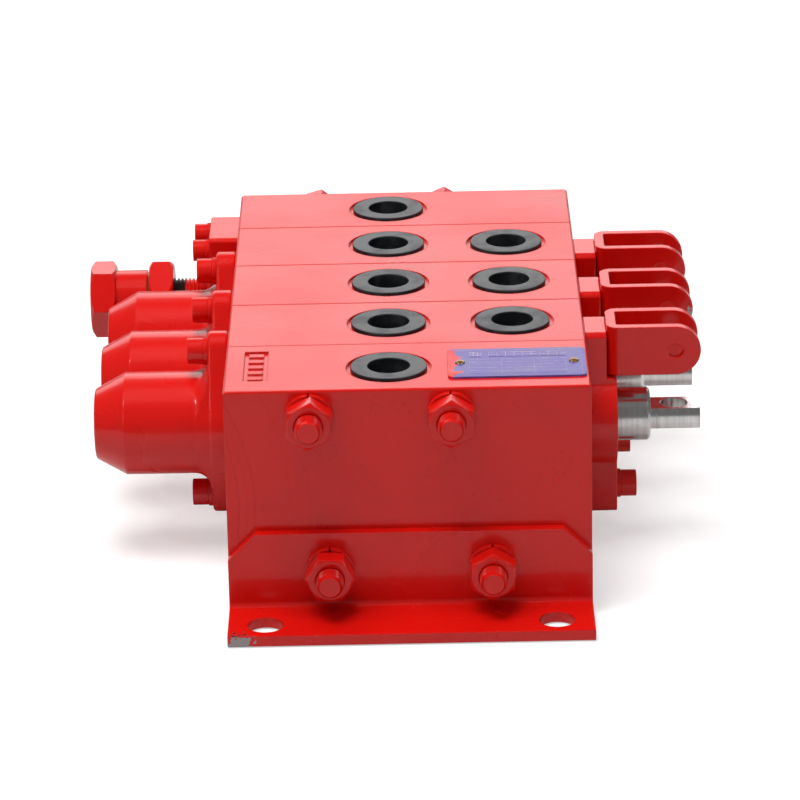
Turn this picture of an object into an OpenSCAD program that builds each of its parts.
// Sectional hydraulic directional valve: five castings in a row on four tie rods.
// An outlet section, three working sections with one sliding spool each, and an inlet
// section that carries the relief valve. Port A and port B of each working section open
// upwards. X runs along the spools, towards the eyes that the hand levers move.
// Y runs along the stack, from the outlet section to the inlet section. Z is up.
// The origin is the middle of the four foot holes, on the plane that the feet stand on.

/* [Castings] */
// Width of every casting, along the spools
body_w = 132; // [126:1:170]
// Height of every casting
body_h = 77; // [72:1:100]
// Height of the castings' undersides above the ground
body_lift = 9.2; // [6:0.2:20]
// Thickness of the outlet section, along the stack
outlet_t = 47; // [44:1:60]
// Thickness of each working section
work_t = 45; // [41:1:60]
// Thickness of the inlet section
inlet_t = 42; // [38:1:60]
// Chamfer along the four long edges of a casting
edge_c = 0.8; // [0.2:0.1:2]
// Radius of the three passages that run through the stack
gallery_r = 5.5; // [4:0.25:6]

/* [Ports] */
// Distance from the right face in to the middle of the B ports
port_b_inset = 26.5; // [24:0.5:34]
// Distance between the A and the B ports
port_pitch = 46; // [40:0.5:50]
// Bore radius of the M22 x 1.5 port thread
port_r = 10.2; // [8:0.1:10.5]
// Depth of the port thread
port_depth = 17; // [14:0.5:18]
// Radius of the spot face round a port
spot_r = 15.5; // [14.5:0.1:16]
// Depth of the spot face
spot_depth = 1.1; // [0.6:0.1:2]
// Radius of a plug's flange
plug_flange_r = 14; // [12:0.1:14.4]
// Thickness of a plug's flange
plug_flange_t = 1.8; // [1.2:0.1:3]
// Length of a plug's skirt below its flange
plug_skirt = 12; // [8:0.5:13]
// Radius of the cup in the top of a plug
plug_cup_r = 7.5; // [5:0.1:8.5]

/* [Spools] */
// Diameter of a spool
spool_d = 20; // [16:0.5:24]
// Height of the spools' middle above the undersides of the castings
spool_rise = 39; // [36:0.5:46]
// Spool travel each way from the middle
spool_travel = 7; // [4:0.5:8]
// How far the thick part of a spool stands out of the right face
spool_out = 24.6; // [22:0.2:30]
// Length of the flat eye at the end of a spool
eye_l = 18.6; // [16:0.2:24]
// Width of the eye
eye_w = 14.5; // [12:0.1:16]
// Thickness of the eye across its two flats
eye_t = 8; // [6:0.5:12]
// Radius of the hole in the eye
eye_hole_r = 5; // [3:0.1:5.5]

/* [Spring caps] */
// Outer diameter of a spring cap
cap_d = 38.5; // [33:0.5:40]
// How far a spring cap stands out of the left face
cap_l = 51; // [48:0.5:60]
// Diameter of the flat end of a spring cap
cap_end_d = 26.7; // [20:0.1:30]
// Length of the cone at the end of a spring cap
cap_cone_l = 11; // [5:0.5:14]
// Wall of a spring cap
cap_wall = 4.2; // [3:0.1:4.5]
// Thickness of the flange of a spring cap
flange_t = 8; // [6:0.5:10]
// Distance from a spool's middle to each screw of its cap
cap_screw_z = 28.3; // [26:0.1:31]
// Radius of the round ends of the flange
lobe_r = 7.5; // [6.5:0.1:8]
// Wire radius of the centring springs
spring_wire_r = 1.3; // [0.8:0.05:1.5]

/* [Cover plates and lever brackets] */
// Thickness of a cover plate
plate_t = 12; // [11:0.5:14]
// Width of a cover plate above and below the spool
plate_w = 20.5; // [18:0.5:26]
// Height of a cover plate
plate_h = 71.4; // [66:0.2:72]
// Distance from a spool's middle to each screw of its cover plate
plate_screw_z = 28; // [25:0.5:29]
// Sheet thickness of a lever bracket
bracket_t = 3.6; // [3:0.1:4]
// Width of a lever bracket across its two ears
bracket_w = 21.6; // [20:0.1:23]
// Height of a lever bracket, which is also the width of an ear
bracket_h = 18.8; // [16:0.2:22]
// Distance from the right face out to the lever pivot
pivot_out = 33.7; // [30:0.1:40]
// Height of the lever pivot above the spool's middle
pivot_rise = 28.7; // [28:0.1:31]
// Radius of the lever pivot hole
pivot_r = 3; // [2:0.1:5]

/* [Tie rods and screws] */
// Radius of a tie rod (M10)
tie_r = 5; // [4:0.1:5.2]
// Distance from the castings' top down to the upper tie rods
tie_drop = 10.2; // [9.5:0.1:14]
// Distance from the castings' underside up to the lower tie rods
tie_rise = 9; // [8.5:0.1:12]
// Half of a tie nut's width across its flats
tie_nut_flat = 8; // [7:0.1:8.5]
// Thickness of a tie nut
tie_nut_t = 8; // [6:0.5:10]
// Length of tie rod past its nut
tie_out = 6; // [2:0.5:10]
// Thickness of a tie rod's spring washer
tie_washer_t = 2.5; // [1.5:0.1:3]
// Shank radius of the cap and cover plate screws (M6)
screw_r = 3; // [2.5:0.1:3.2]
// Head radius of those screws
screw_head_r = 5; // [4.5:0.1:5.5]
// Head height of those screws
screw_head_h = 6; // [5:0.1:7]
// Depth that those screws reach into a casting
screw_bite = 12; // [8:0.5:13]
// Thickness of a small spring washer
washer_t = 1.6; // [1:0.1:2]

/* [Feet] */
// Sheet thickness of a foot
foot_t = 4; // [3:0.5:6]
// Height of a foot's upright leg
foot_h = 32.5; // [28:0.5:34]
// Reach of a foot's level leg, out from the stack
foot_reach = 30; // [27:0.5:40]
// Chamfer at the upper corners of a foot
foot_c = 10; // [4:0.5:12]
// Radius of a foot hole
foot_hole_r = 6.5; // [4:0.1:7]
// Distance from a foot's end in to its hole
foot_hole_inset = 13.5; // [12:0.5:20]
// Distance from the stack out to the foot holes
foot_hole_out = 20; // [17:0.5:20]

/* [Relief valve] */
// Height of the relief valve's middle above the undersides of the castings
relief_rise = 41; // [40:0.5:44]
// Width of the relief valve's block, along the stack
relief_block_w = 29; // [28:0.5:36]
// Height of the block
relief_block_h = 59; // [56:0.5:62]
// Thickness of the block
relief_block_t = 12; // [10:0.5:14]
// Radius of the threaded sleeve (M16 x 1.5)
sleeve_r = 8; // [7.5:0.1:8.2]
// Half of the cap's and the lock nut's width across flats
relief_flat = 13.5; // [12:0.1:14]
// Distance from the block to the lock nut
lock_gap = 15.3; // [10:0.1:18]
// Thickness of the lock nut
lock_nut_t = 9.8; // [6:0.1:12]
// Thickness of the sealing ring between lock nut and cap
lock_ring_t = 0.9; // [0.6:0.1:2]
// Length of the cap's round collar
relief_collar_l = 12.4; // [8:0.1:14]
// Radius of the cap's round collar
relief_collar_r = 11.5; // [11:0.1:12]
// Length of the cap's hexagon
relief_hex_l = 10.1; // [8:0.1:14]
// Shank radius of the block's screws (M5)
relief_screw_r = 2.5; // [2:0.1:2.6]

/* [Nameplate] */
// Length of the nameplate
name_l = 50.2; // [40:0.2:52]
// Width of the nameplate
name_w = 28.8; // [20:0.2:32]
// Thickness of the nameplate
name_t = 0.8; // [0.5:0.1:1.5]

/* [Hidden] */
$fn = 64;
WORK_N = 3;
THREAD_GAP = 0.05;   // radial, between a thread's two halves
RUN_GAP = 0.04;      // radial, between a sliding piece and its bore
SCREW_HOLE_GAP = 0.4;  // radial, between a screw and a clearance hole
EPS = 0.5;           // how far a cut runs past the face that it opens

half_w = body_w / 2;
body_top = body_lift + body_h;
spool_z = body_lift + spool_rise;
spool_r = spool_d / 2;
stack_l = outlet_t + WORK_N * work_t + inlet_t;
stack_y0 = -stack_l / 2;
outlet_y = stack_y0 + outlet_t / 2;
inlet_y = stack_l / 2 - inlet_t / 2;
function work_y0(i) = stack_y0 + outlet_t + (i - 1) * work_t;
function work_y(i) = work_y0(i) + work_t / 2;

port_b_x = half_w - port_b_inset;
port_a_x = port_b_x - port_pitch;
port_p_x = (port_a_x + port_b_x) / 2;      // pressure chamber, midway between A and B
tank_l_x = port_a_x - 29.5;                // left tank chamber
tank_r_x = port_b_x + 14.5;                // right tank chamber
chamber_r = spool_r + 4;
chamber_l = 6;
passage_r = 6;
gallery_z = spool_z - chamber_r - gallery_r + 3;   // tank galleries, cutting the chambers' edge
feed_x = port_p_x - 2.5;                   // pressure gallery
feed_z = gallery_z - 6;
check_x = port_a_x - 2.5;                  // load check bore
check_z = feed_z;
check_r = 6;
check_depth = 20;
ring_w = 2.2;                              // sealing rings between sections
ring_t = 1.4;

tie_hole_r = tie_r + 0.5;
tie_washer_r = tie_r + 4;
tie_top_z = body_top - tie_drop;
tie_low_z = body_lift + tie_rise;
tie_top_x = [port_a_x - 28.9, port_p_x - 0.9];
tie_low_x = [port_a_x - 22.5, port_p_x + 13.3];
// Every tie rod as [x, z, thickness clamped on top of the stack at each end]
TIES = [for (x = tie_top_x) [x, tie_top_z, 0], for (x = tie_low_x) [x, tie_low_z, foot_t]];
GALLERIES = [[feed_x, feed_z], [tank_l_x - 3, gallery_z], [tank_r_x - 3, gallery_z]];
// Every port as [x, y]
PORTS = concat([[port_a_x, outlet_y - 1]],
               [for (i = [1:WORK_N]) [port_a_x, work_y(i)]],
               [for (i = [1:WORK_N]) [port_b_x, work_y(i)]],
               [[port_a_x, inlet_y]]);

cap_r = cap_d / 2;
cap_bore_r = cap_r - cap_wall;
cap_floor = 5;
cap_in_l = cap_l - cap_floor;              // inner length, from the left face
collar_flange_t = 3;
collar_r = cap_bore_r - 1.2;
spring_r = min(cap_bore_r - 0.7 - spring_wire_r, spool_r + 0.9 + 2 * spring_wire_r);
spring_l = (cap_in_l - collar_flange_t) / 2;
spool_end = 8;                             // thick part of the spool past the left face
stem_r = 5;
stem_l = 24;
seal_w = 3;
seal_r = spool_r + 2.5;
seal_in = 6;                               // from the left face in to the left seal
seal_out = 4.5;                            // from the right face out to the right seal

bracket_seat = plate_t - 3.8;              // plate thickness under a lever bracket
pivot_z = spool_z + pivot_rise;
bracket_z0 = pivot_z - bracket_h / 2;

relief_z = body_lift + relief_rise;
relief_face = -half_w - relief_block_t;    // outer face of the block
relief_screw_y = 10;
relief_screw_z = relief_block_h / 2 - 6;
relief_screw_head_r = 4.25;
relief_screw_head_h = 5;
lock_x = relief_face - lock_gap;           // lock nut's face towards the block
ring_x = lock_x - lock_nut_t;
cap_x = ring_x - lock_ring_t;              // open end of the adjusting cap
hex_x = cap_x - relief_collar_l;
relief_end_x = hex_x - relief_hex_l;
sleeve_in = 8;                             // sleeve length inside the casting
sleeve_end_x = hex_x + 1;
sleeve_bore_r = sleeve_r - 2.4;
seat_x = port_a_x - 20;                    // relief seat
seat_r = 3;
poppet_r = sleeve_bore_r - RUN_GAP;
poppet_l = 14;
plunger_l = 12;
plunger_x = hex_x - 2;                     // where the plunger meets the cap's floor

// ---------------------------------------------------------------- helpers

// A round bar or hole along X, Y or Z, from one end to the other.
module bar_x(y, z, r, x0, x1) translate([x0, y, z]) rotate([0, 90, 0]) cylinder(h = x1 - x0, r = r);
module bar_y(x, z, r, y0, y1) translate([x, y1, z]) rotate([90, 0, 0]) cylinder(h = y1 - y0, r = r);
module bar_z(x, y, r, z0, z1) translate([x, y, z0]) cylinder(h = z1 - z0, r = r);

// A hexagon prism along X, with its corners pointing along Z when corner_up is true.
module hex_x_bar(y, z, flat, x0, x1, corner_up)
    translate([x0, y, z]) rotate([0, 90, 0]) rotate(corner_up ? 0 : 30)
        cylinder(h = x1 - x0, r = flat / cos(30), $fn = 6);

// Draws its children in the Y-Z plane and extrudes them along +X.
module extrude_x(x0, l) translate([x0, 0, 0]) rotate([90, 0, 90]) linear_extrude(l) children();

// Draws its children in the X-Z plane and extrudes them along +Y.
module extrude_y(y0, l) translate([0, y0 + l, 0]) rotate([90, 0, 0]) linear_extrude(l) children();

// Two round lobes blended by straight tangents into a middle disc.
module lobed_outline(mid_r, end_r, reach) {
    a = asin((mid_r - end_r) / reach);
    circle(mid_r);
    for (s = [-1, 1]) translate([0, s * reach]) circle(end_r);
    polygon([for (s = [1, -1], e = [[mid_r, 0], [end_r, reach]])
        let (k = s > 0 ? e : (e[1] == 0 ? [end_r, reach] : [mid_r, 0]))
        [s * k[0] * cos(a), k[1] + k[0] * sin(a)]]);
    polygon([for (s = [1, -1], e = [[mid_r, 0], [end_r, reach]])
        let (k = s > 0 ? e : (e[1] == 0 ? [end_r, reach] : [mid_r, 0]))
        [s * k[0] * cos(a), -k[1] - k[0] * sin(a)]]);
}

// A rectangle with its four corners cut at 45 degrees.
module cut_rect(w, h, c)
    polygon([[-w / 2 + c, -h / 2], [w / 2 - c, -h / 2], [w / 2, -h / 2 + c], [w / 2, h / 2 - c],
             [w / 2 - c, h / 2], [-w / 2 + c, h / 2], [-w / 2, h / 2 - c], [-w / 2, -h / 2 + c]]);

// A coil spring along +X from x0, with flat first and last turns.
COIL_SIDES = 6;
COIL_STEPS = 12;
COIL_FLAT = 0.4;     // turns that lie flat at each end
module coil_x(x0, l, r, wire_r, turns) {
    n = round(turns * COIL_STEPS);
    function rise(t) = min(1, max(0, (t - COIL_FLAT) / (turns - 2 * COIL_FLAT)));
    pts = [for (k = [0:n], s = [0:COIL_SIDES - 1])
        let (t = k / COIL_STEPS, q = 360 * s / COIL_SIDES, rr = r + wire_r * cos(q))
        [wire_r + (l - 2 * wire_r) * rise(t) + wire_r * sin(q), rr * cos(360 * t), rr * sin(360 * t)]];
    sides = [for (k = [0:n - 1], s = [0:COIL_SIDES - 1])
        let (a = k * COIL_SIDES, b = (s + 1) % COIL_SIDES)
        each [[a + s, a + b, a + COIL_SIDES + b], [a + s, a + COIL_SIDES + b, a + COIL_SIDES + s]]];
    ends = [[for (s = [COIL_SIDES - 1:-1:0]) s], [for (s = [0:COIL_SIDES - 1]) n * COIL_SIDES + s]];
    translate([x0, 0, 0]) polyhedron(points = pts, faces = concat(sides, ends), convexity = 6);
}

// A split spring washer along +X, from x0.
module split_washer_x(y, z, r_in, r_out, x0, t)
    difference() {
        bar_x(y, z, r_out, x0, x0 + t);
        bar_x(y, z, r_in, x0 - EPS, x0 + t + EPS);
        translate([x0 - EPS, y - 0.4, z]) cube([t + 2 * EPS, 0.8, r_out + EPS]);
    }

// A socket-head screw whose head's underside is at x, with its head towards dir.
module socket_screw_x(y, z, x, dir, r, head_r, head_h, shank_l)
    difference() {
        union() {
            bar_x(y, z, head_r, min(x, x + dir * head_h), max(x, x + dir * head_h));
            bar_x(y, z, r, min(x, x - dir * shank_l), max(x, x - dir * shank_l));
        }
        translate([x + dir * head_h * 0.5, y, z]) rotate([0, 90 * dir, 0])
            cylinder(h = head_h, r = head_r * 0.5 / cos(30), $fn = 6);
    }

// ---------------------------------------------------------------- castings

module casting_blank(y0, t)
    extrude_y(y0, t) translate([0, body_lift + body_h / 2]) cut_rect(body_w, body_h, edge_c);

module tie_holes(y0, t)
    for (q = TIES) bar_y(q[0], q[1], tie_hole_r, y0 - EPS, y0 + t + EPS);

// A port's spot face, thread and the passage down from it to height z.
module port_cut(x, y, z) {
    bar_z(x, y, spot_r, body_top - spot_depth, body_top + EPS);
    bar_z(x, y, port_r, body_top - port_depth, body_top);
    bar_z(x, y, passage_r, z, body_top - port_depth + EPS);
}

// The grooves for the sealing rings in the face at y0.
module ring_grooves(y0, spots)
    for (q = spots) difference() {
        bar_y(q[0], q[1], q[2] + 1.5 + ring_w, y0 - EPS, y0 + ring_t);
        bar_y(q[0], q[1], q[2] + 1.5, y0 - 2 * EPS, y0 + ring_t + EPS);
    }

function gallery_rings() = [for (g = GALLERIES) [g[0], g[1], gallery_r]];
function work_rings() = concat(gallery_rings(), [[check_x, check_z, check_r]]);

module outlet_section() color("firebrick") difference() {
    casting_blank(stack_y0, outlet_t);
    tie_holes(stack_y0, outlet_t);
    port_cut(PORTS[0][0], PORTS[0][1], gallery_z);
    // The two tank galleries come in from the working sections and meet under the port.
    for (g = [GALLERIES[1], GALLERIES[2]])
        bar_y(g[0], g[1], gallery_r, PORTS[0][1], stack_y0 + outlet_t + EPS);
    bar_y(feed_x, feed_z, gallery_r, stack_y0 + outlet_t - 10, stack_y0 + outlet_t + EPS);
    bar_x(PORTS[0][1], gallery_z, 5, GALLERIES[1][0], GALLERIES[2][0]);
    for (x = rivet_x) bar_z(x, name_y, rivet_r + THREAD_GAP, body_top - rivet_depth, body_top + EPS);
    // Cast pocket beside the port, with plain raised bars standing in it.
    difference() {
        translate([-half_w + 7, stack_y0 + 10.5, body_top - 0.9]) cube([8.6, 30.5, 0.9 + EPS]);
        for (k = [0:4]) translate([-half_w + 8.6, stack_y0 + 12.6 + k * 5.8, body_top - 1])
            cube([5.4, 3.2, 0.8]);
    }
}

module work_section(i) {
    y0 = work_y0(i);
    y = work_y(i);
    color("firebrick") difference() {
        casting_blank(y0, work_t);
        tie_holes(y0, work_t);
        for (g = GALLERIES) bar_y(g[0], g[1], gallery_r, y0 - EPS, y0 + work_t + EPS);
        // Spool bore with its five chambers and the seal groove near the left face.
        bar_x(y, spool_z, spool_r + RUN_GAP, -half_w - EPS, half_w + EPS);
        for (x = [tank_l_x, port_a_x, port_p_x, port_b_x, tank_r_x])
            bar_x(y, spool_z, chamber_r, x - chamber_l / 2, x + chamber_l / 2);
        bar_x(y, spool_z, seal_r, -half_w + seal_in, -half_w + seal_in + seal_w);
        for (x = [port_a_x, port_b_x]) port_cut(x, y, spool_z + spool_r + 2);
        // Load check: its bore opens on the front face, its seat meets the pressure gallery
        // and its outlet leads round to the pressure chamber.
        bar_y(check_x, check_z, check_r, y0 - EPS, y0 + check_depth);
        bar_y(check_x, check_z, check_r - 2, y0 + check_depth - EPS, y0 + check_depth + 6);
        bar_x(y0 + check_depth + 4, check_z, 3.2, check_x, feed_x);
        bar_z(check_x, y0 + 12, 2.8, check_z, spool_z - chamber_r);
        bar_x(y0 + 12, spool_z - chamber_r, 2.8, check_x, port_p_x);
        bar_y(port_p_x, spool_z - chamber_r, 2.7, y0 + 12, y);
        for (s = [-1, 1]) {
            bar_x(y, spool_z + s * cap_screw_z, screw_r + THREAD_GAP, -half_w - EPS, -half_w + screw_bite + 2);
            bar_x(y, spool_z + s * plate_screw_z, screw_r + THREAD_GAP, half_w - screw_bite - 2, half_w + EPS);
        }
        ring_grooves(y0, work_rings());
    }
}

module inlet_section() {
    y0 = inlet_y - inlet_t / 2;
    color("firebrick") difference() {
        casting_blank(y0, inlet_t);
        tie_holes(y0, inlet_t);
        port_cut(port_a_x, inlet_y, feed_z);
        bar_x(inlet_y, feed_z, 4.5, port_a_x, feed_x);
        for (g = GALLERIES) bar_y(g[0], g[1], gallery_r, y0 - EPS, inlet_y + 3);
        // Relief valve bore from the left face, its seat, and its drain to the tank gallery.
        bar_x(inlet_y, relief_z, sleeve_r + THREAD_GAP, -half_w - EPS, -half_w + sleeve_in);
        bar_x(inlet_y, relief_z, sleeve_bore_r, -half_w, seat_x);
        bar_x(inlet_y, relief_z, seat_r, seat_x - EPS, port_a_x);
        bar_z(tank_l_x - 3, inlet_y, 3.5, gallery_z, relief_z);
        for (sy = [-1, 1], sz = [-1, 1])
            bar_x(inlet_y + sy * relief_screw_y, relief_z + sz * relief_screw_z,
                  relief_screw_r + THREAD_GAP, -half_w - EPS, -half_w + 12);
        ring_grooves(y0, gallery_rings());
    }
}

module section_seals() color("dimgray") {
    for (i = [1:WORK_N]) ring_set(work_y0(i), work_rings());
    ring_set(inlet_y - inlet_t / 2, gallery_rings());
}

module ring_set(y0, spots)
    for (q = spots) difference() {
        bar_y(q[0], q[1], q[2] + 1.5 + ring_w, y0, y0 + ring_t);
        bar_y(q[0], q[1], q[2] + 1.5, y0 - EPS, y0 + ring_t + EPS);
    }

// ---------------------------------------------------------------- tie rods and feet

module tie_rods() color("firebrick")
    for (q = TIES) {
        end = stack_l / 2 + q[2] + tie_washer_t + tie_nut_t + tie_out;
        bar_y(q[0], q[1], tie_r, -end + 1, end - 1);
        for (s = [-1, 1]) translate([q[0], s * (end - 1), q[1]]) rotate([-90 * s, 0, 0])
            cylinder(h = 1, r1 = tie_r, r2 = tie_r - 1);
    }

module tie_nuts() color("firebrick")
    for (k = [0:len(TIES) - 1], s = [-1, 1]) {
        q = TIES[k];
        y = stack_l / 2 + q[2] + tie_washer_t;
        translate([q[0], s * y, q[1]]) rotate([-90 * s, 0, 0]) difference() {
            intersection() {
                rotate(k % 2 == 0 ? 30 : 12) cylinder(h = tie_nut_t, r = tie_nut_flat / cos(30), $fn = 6);
                union() {
                    cylinder(h = tie_nut_t - 1.2, r = tie_nut_flat / cos(30) + 1);
                    translate([0, 0, tie_nut_t - 1.2])
                        cylinder(h = 1.2, r1 = tie_nut_flat / cos(30) + 0.1, r2 = tie_nut_flat - 0.2);
                }
            }
            translate([0, 0, -EPS]) cylinder(h = tie_nut_t + 2 * EPS, r = tie_r + THREAD_GAP);
        }
    }

module tie_washers() color("firebrick")
    for (q = TIES, s = [-1, 1])
        translate([q[0], s * (stack_l / 2 + q[2]), q[1]]) rotate([0, 0, 90 * s])
            split_washer_x(0, 0, tie_r + 0.3, tie_washer_r, 0, tie_washer_t);

// A foot for the front of the stack. The rear one is its mirror image.
module foot() {
    y = stack_y0;
    difference() {
        extrude_x(-half_w, body_w) difference() {
            union() {
                translate([y - foot_t, 0]) square([foot_t, foot_h]);
                translate([y - foot_reach, 0]) square([foot_reach, foot_t]);
                difference() {
                    translate([y - foot_t - 2, foot_t]) square([2 + EPS, 2]);
                    translate([y - foot_t - 2, foot_t + 2]) circle(2);
                }
            }
            // Outer radius of the bend
            difference() {
                translate([y - foot_t - 1, -EPS]) square([foot_t + 1 + EPS, foot_t + 1 + EPS]);
                translate([y - foot_t - 1, foot_t + 1]) circle(foot_t + 1);
                translate([y - foot_t - 2, foot_t]) square([2, 2]);
            }
        }
        for (s = [-1, 1]) {
            translate([s * half_w, y, foot_h]) rotate([0, 45, 0])
                cube([foot_c * sqrt(2), 4 * foot_t, foot_c * sqrt(2)], center = true);
            bar_z(s * (half_w - foot_hole_inset), y - foot_hole_out, foot_hole_r, -EPS, foot_t + EPS);
        }
        for (x = tie_low_x) bar_y(x, tie_low_z, tie_hole_r, y - foot_t - EPS, y + EPS);
    }
}

module foot_front() color("firebrick") foot();
module foot_rear() color("firebrick") mirror([0, 1, 0]) foot();

// ---------------------------------------------------------------- spools and springs

// Necks turned into a spool, each as [x from, x to]. At rest the lands close both ports; at
// full travel one port meets the pressure chamber and the other meets its tank chamber.
LAND_LAP = 1.8;      // how far a land overlaps a chamber's edge at rest
port_edge = chamber_l / 2 + LAND_LAP;
NECKS = [[tank_l_x + chamber_l / 2 - spool_travel, port_a_x - port_edge],
         [port_a_x + port_edge, port_b_x - port_edge],
         [port_b_x + port_edge, tank_r_x - chamber_l / 2 + 1 + spool_travel]];

module spool(i) {
    y = work_y(i);
    out_x = half_w + spool_out;
    color("silver") difference() {
        union() {
            bar_x(y, spool_z, spool_r, -half_w - spool_end, out_x - 1);
            translate([out_x - 1, y, spool_z]) rotate([0, 90, 0])
                cylinder(h = 1, r1 = spool_r, r2 = spool_r - 1);
            bar_x(y, spool_z, stem_r, -half_w - spool_end - stem_l, -half_w - spool_end + 1);
            intersection() {
                bar_x(y, spool_z, eye_w / 2, out_x - 1, out_x + eye_l);
                translate([out_x - 2, y - eye_w, spool_z - eye_t / 2]) cube([eye_l + 4, 2 * eye_w, eye_t]);
            }
        }
        for (n = NECKS) difference() {
            bar_x(y, spool_z, spool_r + 1, n[0], n[1]);
            bar_x(y, spool_z, spool_r * 0.68, n[0] - EPS, n[1] + EPS);
        }
        bar_z(eye_x, y, eye_hole_r, spool_z - eye_t, spool_z + eye_t);
    }
}
eye_x = half_w + pivot_out;

// The collar screwed on the stem, which both centring springs press on.
module spring_collar(i) {
    y = work_y(i);
    hub_x = -half_w - spool_end;
    mid = -half_w - cap_in_l / 2;
    color("gray") difference() {
        union() {
            bar_x(y, spool_z, stem_r + 3, hub_x - stem_l + 2, hub_x);
            bar_x(y, spool_z, collar_r, mid - collar_flange_t / 2, mid + collar_flange_t / 2);
        }
        bar_x(y, spool_z, stem_r + THREAD_GAP, hub_x - stem_l, hub_x + EPS);
    }
}

module inner_spring(i) color("darkgray")
    translate([0, work_y(i), spool_z]) coil_x(-half_w - spring_l, spring_l, spring_r, spring_wire_r, 4.5);

module outer_spring(i) color("darkgray")
    translate([0, work_y(i), spool_z]) coil_x(-half_w - cap_in_l, spring_l, spring_r, spring_wire_r, 4.5);

module spring_cap(i) {
    y = work_y(i);
    face = -half_w - flange_t;
    cone_x = -half_w - cap_l + cap_cone_l;
    color("firebrick") difference() {
        union() {
            extrude_x(face, flange_t) translate([y, spool_z]) lobed_outline(cap_r + 0.8, lobe_r, cap_screw_z);
            bar_x(y, spool_z, cap_r, cone_x, face + EPS);
            translate([cone_x, y, spool_z]) rotate([0, -90, 0])
                cylinder(h = cap_cone_l, r1 = cap_r, r2 = cap_end_d / 2);
        }
        bar_x(y, spool_z, cap_bore_r, -half_w - cap_in_l + 8, -half_w + EPS);
        translate([-half_w - cap_in_l + 8, y, spool_z]) rotate([0, -90, 0])
            cylinder(h = 8, r1 = cap_bore_r, r2 = spring_r + spring_wire_r + 0.2);
        for (s = [-1, 1])
            bar_x(y, spool_z + s * cap_screw_z, screw_r + SCREW_HOLE_GAP, face - EPS, -half_w + EPS);
    }
}

module spool_seals() color("dimgray")
    for (i = [1:WORK_N], x = [-half_w + seal_in, half_w + seal_out]) difference() {
        bar_x(work_y(i), spool_z, seal_r, x, x + seal_w);
        bar_x(work_y(i), spool_z, spool_r + RUN_GAP, x - EPS, x + seal_w + EPS);
    }

// ---------------------------------------------------------------- cover plates and lever brackets

module cover_plate(i) {
    y = work_y(i);
    color("firebrick") difference() {
        extrude_x(half_w, plate_t) translate([y, spool_z]) {
            cut_rect(plate_w, plate_h, 1.5);
            circle(spool_r + 8.5);
        }
        // Lower step that the lever bracket is screwed against
        translate([half_w + bracket_seat, y - plate_w, bracket_z0 - 1.4])
            cube([plate_t, 2 * plate_w, plate_h]);
        bar_x(y, spool_z, spool_r + 0.3, half_w - EPS, half_w + plate_t + EPS);
        bar_x(y, spool_z, seal_r, half_w + seal_out, half_w + seal_out + seal_w);
        for (s = [-1, 1])
            bar_x(y, spool_z + s * plate_screw_z, screw_r + SCREW_HOLE_GAP, half_w - EPS, half_w + plate_t + EPS);
    }
}

module lever_bracket(i) {
    y = work_y(i);
    x0 = half_w + bracket_seat;
    bend = bracket_t + 0.9;
    color("firebrick") difference() {
        translate([0, 0, bracket_z0]) linear_extrude(bracket_h) difference() {
            union() {
                translate([x0 + bend, y - bracket_w / 2])
                    square([eye_x - x0 - bend + bracket_h / 2, bracket_w]);
                translate([x0, y - bracket_w / 2 + bend]) square([2 * bend, bracket_w - 2 * bend]);
                for (s = [-1, 1]) translate([x0 + bend, y + s * (bracket_w / 2 - bend)]) circle(bend);
            }
            translate([x0 + bend, y - bracket_w / 2 + bracket_t])
                square([2 * eye_x, bracket_w - 2 * bracket_t]);
            translate([x0 + bracket_t, y - bracket_w / 2 + bend])
                square([2 * bend, bracket_w - 2 * bend]);
            for (s = [-1, 1]) translate([x0 + bend, y + s * (bracket_w / 2 - bend)]) circle(bend - bracket_t);
        }
        // Round ends of the ears
        difference() {
            translate([eye_x, y - bracket_w, bracket_z0 - EPS]) cube([2 * bracket_h, 2 * bracket_w, bracket_h + 2 * EPS]);
            bar_y(eye_x, pivot_z, bracket_h / 2, y - bracket_w - EPS, y + bracket_w + EPS);
        }
        bar_y(eye_x, pivot_z, pivot_r, y - bracket_w, y + bracket_w);
        bar_x(y, spool_z + plate_screw_z, screw_r + SCREW_HOLE_GAP, x0 - EPS, x0 + bracket_t + EPS);
    }
}

// Where the screws of the caps and cover plates sit: [y, z, seat x, direction of the head]
SCREWS = [for (i = [1:WORK_N], s = [-1, 1]) each [
    [work_y(i), spool_z + s * cap_screw_z, -half_w - flange_t, -1],
    [work_y(i), spool_z + s * plate_screw_z,
     half_w + (s > 0 ? bracket_seat + bracket_t : plate_t), 1]]];

module socket_screws() color("firebrick")
    for (q = SCREWS) socket_screw_x(q[0], q[1], q[2] + q[3] * washer_t, q[3], screw_r, screw_head_r,
        screw_head_h, abs(q[2]) + washer_t - half_w + screw_bite);

module screw_washers() color("firebrick") {
    for (q = SCREWS) split_washer_x(q[0], q[1], screw_r + 0.2, screw_head_r + 0.4,
        q[3] > 0 ? q[2] : q[2] - washer_t, washer_t);
    for (sy = [-1, 1], sz = [-1, 1])
        split_washer_x(inlet_y + sy * relief_screw_y, relief_z + sz * relief_screw_z, relief_screw_r + 0.2,
            relief_screw_head_r + 0.3, relief_face - washer_t, washer_t);
}

// ---------------------------------------------------------------- port plugs

module port_plug(k) {
    x = PORTS[k][0];
    y = PORTS[k][1];
    seat = body_top - spot_depth;
    color("#202224") difference() {
        union() {
            bar_z(x, y, plug_flange_r, seat, seat + plug_flange_t);
            bar_z(x, y, port_r - 0.1, seat - plug_skirt, seat + EPS);
        }
        bar_z(x, y, plug_cup_r, seat - plug_skirt + 3, seat + plug_flange_t + EPS);
    }
}

// ---------------------------------------------------------------- nameplate

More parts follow.
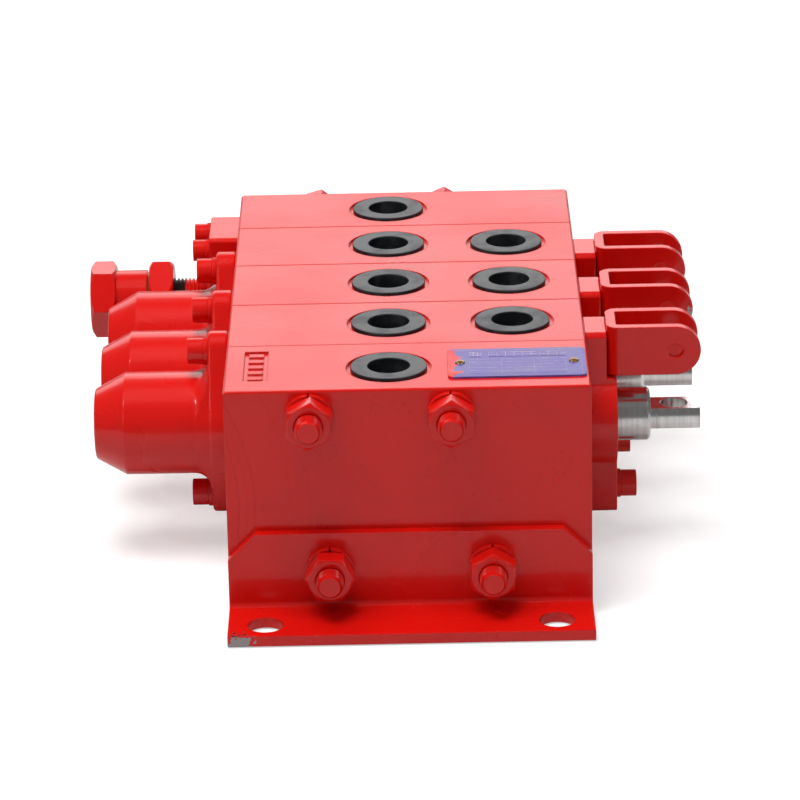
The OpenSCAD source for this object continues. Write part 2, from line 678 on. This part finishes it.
name_x = half_w - 1 - name_l / 2;
name_y = stack_y0 + 23.4;
rivet_r = 1.2;
rivet_depth = 4;
rivet_x = [name_x - name_l / 2 + 4.6, name_x + name_l / 2 - 4.4];

module nameplate() color("slateblue") difference() {
    translate([name_x, name_y, body_top]) linear_extrude(name_t) cut_rect(name_l, name_w, 3);
    for (x = rivet_x) bar_z(x, name_y, rivet_r + THREAD_GAP, body_top - EPS, body_top + name_t + EPS);
}

module rivets() color("goldenrod")
    for (x = rivet_x) {
        bar_z(x, name_y, rivet_r, body_top - rivet_depth, body_top + name_t);
        translate([x, name_y, body_top + name_t]) intersection() {
            translate([0, 0, -1.4]) sphere(r = 2.4);
            cylinder(h = 2, r = 3);
        }
    }

// ---------------------------------------------------------------- relief valve

module relief_block() color("firebrick") difference() {
    extrude_x(relief_face, relief_block_t) translate([inlet_y, relief_z])
        cut_rect(relief_block_w, relief_block_h, 1.2);
    bar_x(inlet_y, relief_z, sleeve_r + THREAD_GAP, relief_face - EPS, -half_w + EPS);
    for (sy = [-1, 1], sz = [-1, 1])
        bar_x(inlet_y + sy * relief_screw_y, relief_z + sz * relief_screw_z,
              relief_screw_r + SCREW_HOLE_GAP, relief_face - EPS, -half_w + EPS);
}

module relief_screws() color("firebrick")
    for (sy = [-1, 1], sz = [-1, 1])
        socket_screw_x(inlet_y + sy * relief_screw_y, relief_z + sz * relief_screw_z,
            relief_face - washer_t, -1, relief_screw_r, relief_screw_head_r, relief_screw_head_h,
            relief_block_t + washer_t + 10);

// The threaded sleeve that the cap and the lock nut turn on. It holds the relief spring.
module relief_sleeve() color("#5a4a48") difference() {
    bar_x(inlet_y, relief_z, sleeve_r, sleeve_end_x, -half_w + sleeve_in);
    bar_x(inlet_y, relief_z, sleeve_bore_r, sleeve_end_x - EPS, -half_w + sleeve_in + EPS);
}

module chamfered_hex(x0, x1, flat, corner_up, c) intersection() {
    hex_x_bar(inlet_y, relief_z, flat, x0, x1, corner_up);
    union() {
        bar_x(inlet_y, relief_z, flat / cos(30) + 1, x0 + c, x1 - c);
        translate([x0, inlet_y, relief_z]) rotate([0, 90, 0])
            cylinder(h = c, r1 = flat - 0.2, r2 = flat / cos(30) + 0.05);
        translate([x1 - c, inlet_y, relief_z]) rotate([0, 90, 0])
            cylinder(h = c, r1 = flat / cos(30) + 0.05, r2 = flat - 0.2);
    }
}

module relief_lock_nut() color("firebrick") difference() {
    chamfered_hex(ring_x, lock_x, relief_flat, true, 1.6);
    bar_x(inlet_y, relief_z, sleeve_r + THREAD_GAP, ring_x - EPS, lock_x + EPS);
}

module relief_lock_ring() color("#8a5a3a") difference() {
    bar_x(inlet_y, relief_z, relief_collar_r - 0.8, cap_x, ring_x);
    bar_x(inlet_y, relief_z, sleeve_r + THREAD_GAP, cap_x - EPS, ring_x + EPS);
}

module relief_cap() color("firebrick") difference() {
    union() {
        bar_x(inlet_y, relief_z, relief_collar_r, hex_x - EPS, cap_x);
        chamfered_hex(relief_end_x, hex_x, relief_flat, false, 1.6);
    }
    bar_x(inlet_y, relief_z, sleeve_r + THREAD_GAP, plunger_x, cap_x + EPS);
}

// The plunger that the cap pushes in, which sets the load on the relief spring.
module relief_plunger() color("gray") {
    bar_x(inlet_y, relief_z, sleeve_bore_r - RUN_GAP, sleeve_end_x, plunger_x + plunger_l);
    bar_x(inlet_y, relief_z, sleeve_r - 0.6, plunger_x, sleeve_end_x - 1);
    bar_x(inlet_y, relief_z, sleeve_bore_r - 1, sleeve_end_x - 1 - EPS, sleeve_end_x + EPS);
}

relief_spring_x0 = plunger_x + plunger_l;
relief_spring_x1 = seat_x - poppet_l;
module relief_spring() color("darkgray")
    translate([0, inlet_y, relief_z])
        coil_x(relief_spring_x0, relief_spring_x1 - relief_spring_x0, sleeve_bore_r - 1.5, 1, 11);

// Hollow-sided poppet that closes the seat with its cone.
module relief_poppet() color("gray") {
    bar_x(inlet_y, relief_z, poppet_r, seat_x - poppet_l, seat_x - 5);
    translate([seat_x - 5, inlet_y, relief_z]) rotate([0, 90, 0])
        cylinder(h = 5, r1 = poppet_r - 0.5, r2 = seat_r - 0.5);
}

// ---------------------------------------------------------------- load checks

check_l = 9;
module check_poppet(i) {
    y1 = work_y0(i) + check_depth;
    color("gray") difference() {
        union() {
            bar_y(check_x, check_z, check_r - RUN_GAP, y1 - check_l, y1);
            bar_y(check_x, check_z, check_r - 2.4, y1 - EPS, y1 + 2);
        }
        bar_y(check_x, check_z, check_r - 1.6, y1 - check_l - EPS, y1 - 3);
    }
}

module check_springs() color("darkgray")
    for (i = [1:WORK_N]) translate([check_x, work_y0(i), check_z]) rotate([0, 0, 90])
        coil_x(0.2, check_depth - 3.2, check_r - 2.4, 0.6, 6);

// ---------------------------------------------------------------- nodes

PLUGS = ["plug_tank", "plug_a1", "plug_a2", "plug_a3", "plug_b1", "plug_b2", "plug_b3", "plug_inlet"];
function numbered(name) = [for (i = [1:WORK_N]) str(name, "_", i)];

outlet_section();
for (i = [1:WORK_N]) {
    work_section(i);
    spool(i);
    spring_collar(i);
    inner_spring(i);
    outer_spring(i);
    spring_cap(i);
    cover_plate(i);
    lever_bracket(i);
    check_poppet(i);
}
inlet_section();
section_seals();
tie_rods();
tie_nuts();
tie_washers();
foot_front();
foot_rear();
spool_seals();
socket_screws();
screw_washers();
for (k = [0:len(PLUGS) - 1]) port_plug(k);
nameplate();
rivets();
relief_block();
relief_screws();
relief_sleeve();
relief_lock_nut();
relief_lock_ring();
relief_cap();
relief_plunger();
relief_spring();
relief_poppet();
check_springs();
